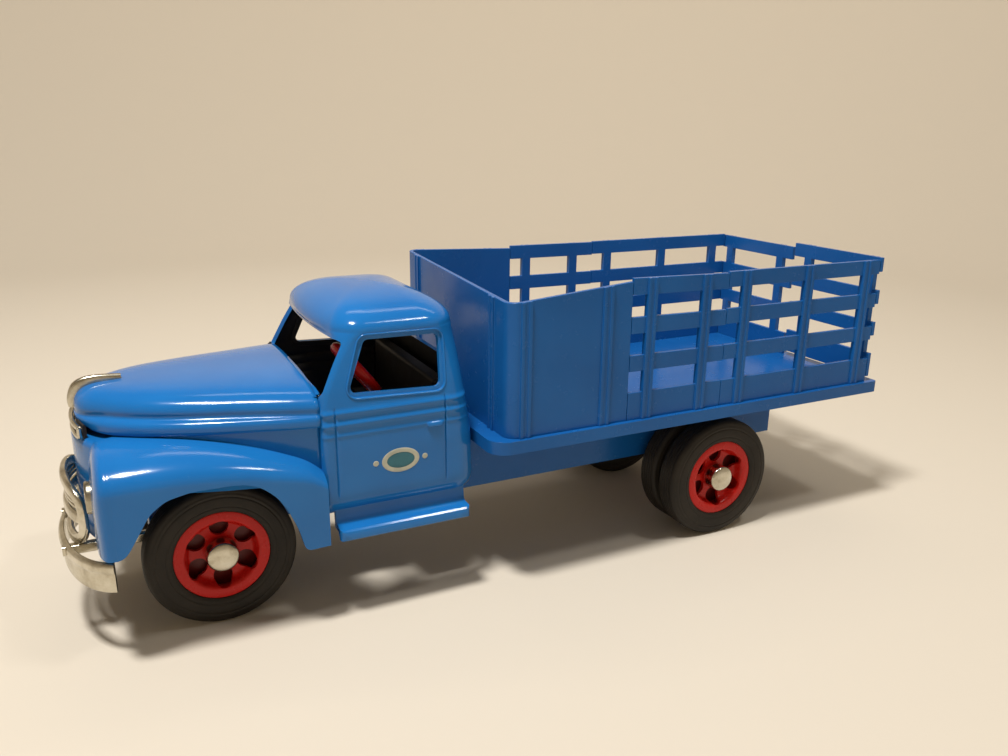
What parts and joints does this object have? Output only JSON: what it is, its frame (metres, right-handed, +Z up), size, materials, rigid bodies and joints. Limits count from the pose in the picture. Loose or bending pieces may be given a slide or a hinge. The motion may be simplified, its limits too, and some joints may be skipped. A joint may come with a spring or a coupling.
{
  "type": "toy stake truck",
  "caption": "Toy stake-bed truck with a long hood, rounded cab, dual rear wheels that roll and lift-out stake racks.",
  "frame": {"origin": "centre of the truck's outline at the ground under its tyres", "axes": "-X towards the front bumper, +Y towards the right-hand side of the truck, +Z up"},
  "size_m": [0.4046, 0.129, 0.14],
  "materials": {
    "blue_plastic": "gloss",
    "red_plastic": "gloss",
    "tyre": "satin",
    "chrome": "polished",
    "steel": "satin",
    "dark_plastic": "matt"
  },
  "bodies": {
    "truck": {"deck": "blue_plastic", "headboard": "blue_plastic", "chassis": "blue_plastic", "cab_shell": "blue_plastic", "hood": "blue_plastic", "front_end": "blue_plastic", "left_headlamp": "chrome", "left_front_hanger": "blue_plastic", "left_rear_hanger": "blue_plastic", "right_headlamp": "chrome", "right_front_hanger": "blue_plastic", "right_rear_hanger": "blue_plastic", "bumper": "chrome", "grille": "chrome", "hood_ornament": "chrome", "nose_trim": "chrome", "front_axle": "steel", "rear_axle": "steel", "seat": "dark_plastic", "steering_wheel": "red_plastic"},
    "left_front_wheel": {"left_front_tyre": "tyre", "left_front_hub": "red_plastic", "left_front_cap": "chrome"},
    "left_rear_wheels": {"left_rear_outer_tyre": "tyre", "left_rear_inner_tyre": "tyre", "left_rear_hub": "red_plastic", "left_rear_cap": "chrome"},
    "left_mid_rack": {"left_mid_gate": "blue_plastic"},
    "left_rear_rack": {"left_rear_gate": "blue_plastic"},
    "left_tail_rack": {"left_tail_gate": "blue_plastic"},
    "right_front_wheel": {"right_front_tyre": "tyre", "right_front_hub": "red_plastic", "right_front_cap": "chrome"},
    "right_rear_wheels": {"right_rear_outer_tyre": "tyre", "right_rear_inner_tyre": "tyre", "right_rear_hub": "red_plastic", "right_rear_cap": "chrome"},
    "right_mid_rack": {"right_mid_gate": "blue_plastic"},
    "right_rear_rack": {"right_rear_gate": "blue_plastic"},
    "right_tail_rack": {"right_tail_gate": "blue_plastic"}
  },
  "joints": [
    {"name": "left_front_wheel_spin", "type": "hinge", "parent": "truck", "child": "left_front_wheel", "pos_m": [-0.14175, 0, 0.031], "axis": [0, 1, 0], "continuous": true},
    {"name": "left_rear_wheels_spin", "type": "hinge", "parent": "truck", "child": "left_rear_wheels", "pos_m": [0.10225, 0, 0.031], "axis": [0, 1, 0], "continuous": true},
    {"name": "left_mid_rack_lift", "type": "slide", "parent": "truck", "child": "left_mid_rack", "axis": [0, 0, 1], "range_m": [0, 0.012]},
    {"name": "left_rear_rack_lift", "type": "slide", "parent": "truck", "child": "left_rear_rack", "axis": [0, 0, 1], "range_m": [0, 0.012]},
    {"name": "left_tail_rack_lift", "type": "slide", "parent": "truck", "child": "left_tail_rack", "axis": [0, 0, 1], "range_m": [-0.0025, 0.012]},
    {"name": "right_front_wheel_spin", "type": "hinge", "parent": "truck", "child": "right_front_wheel", "pos_m": [-0.14175, 0, 0.031], "axis": [0, 1, 0], "continuous": true},
    {"name": "right_rear_wheels_spin", "type": "hinge", "parent": "truck", "child": "right_rear_wheels", "pos_m": [0.10225, 0, 0.031], "axis": [0, 1, 0], "continuous": true},
    {"name": "right_mid_rack_lift", "type": "slide", "parent": "truck", "child": "right_mid_rack", "axis": [0, 0, 1], "range_m": [0, 0.012]},
    {"name": "right_rear_rack_lift", "type": "slide", "parent": "truck", "child": "right_rear_rack", "axis": [0, 0, 1], "range_m": [0, 0.012]},
    {"name": "right_tail_rack_lift", "type": "slide", "parent": "truck", "child": "right_tail_rack", "axis": [0, 0, 1], "range_m": [0, 0.012]}
  ]
}
